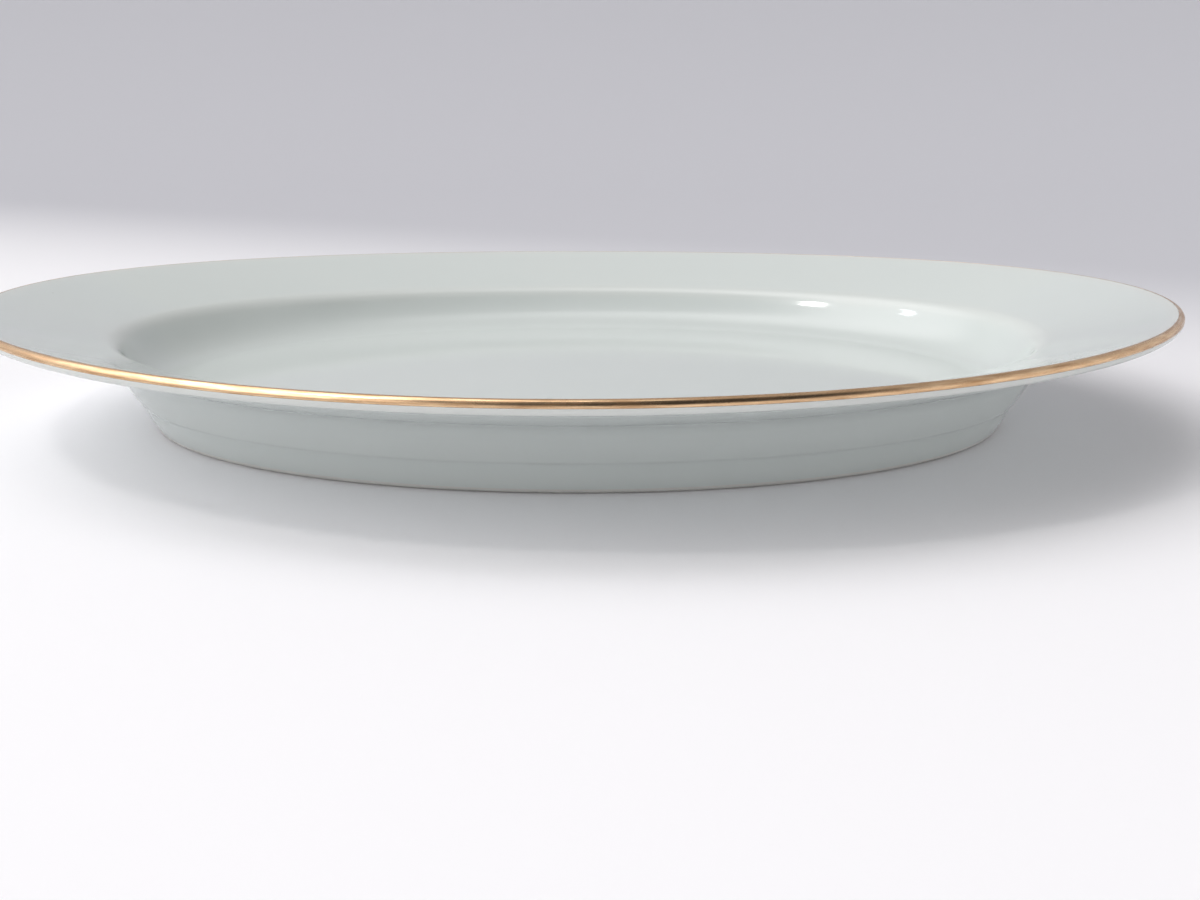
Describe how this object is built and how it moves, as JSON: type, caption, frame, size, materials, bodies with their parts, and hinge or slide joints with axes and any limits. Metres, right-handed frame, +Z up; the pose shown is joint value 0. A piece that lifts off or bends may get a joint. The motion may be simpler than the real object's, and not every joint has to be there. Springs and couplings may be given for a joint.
{
  "type": "serving platter",
  "caption": "Oval china serving platter with a wide plain flange, a shallow flat well, a low foot ring and a thin gilt line round the lip.",
  "frame": {"origin": "centre of the foot ring, in the plane that the foot stands on", "axes": "+X along the long axis of the oval, +Y across it, +Z up out of the well"},
  "size_m": [0.356, 0.254, 0.0394],
  "materials": {
    "porcelain": "matte, unglazed where it shows on the foot",
    "face_glaze": "gloss, very slightly green-grey white",
    "back_glaze": "gloss",
    "gilding": "burnished gold line, thinly laid and lightly rubbed"
  },
  "bodies": {
    "root": {"porcelain_body": "porcelain", "outer_glaze": "face_glaze", "recess_glaze": "back_glaze", "gilt_edge_band": "gilding"}
  },
  "joints": []
}
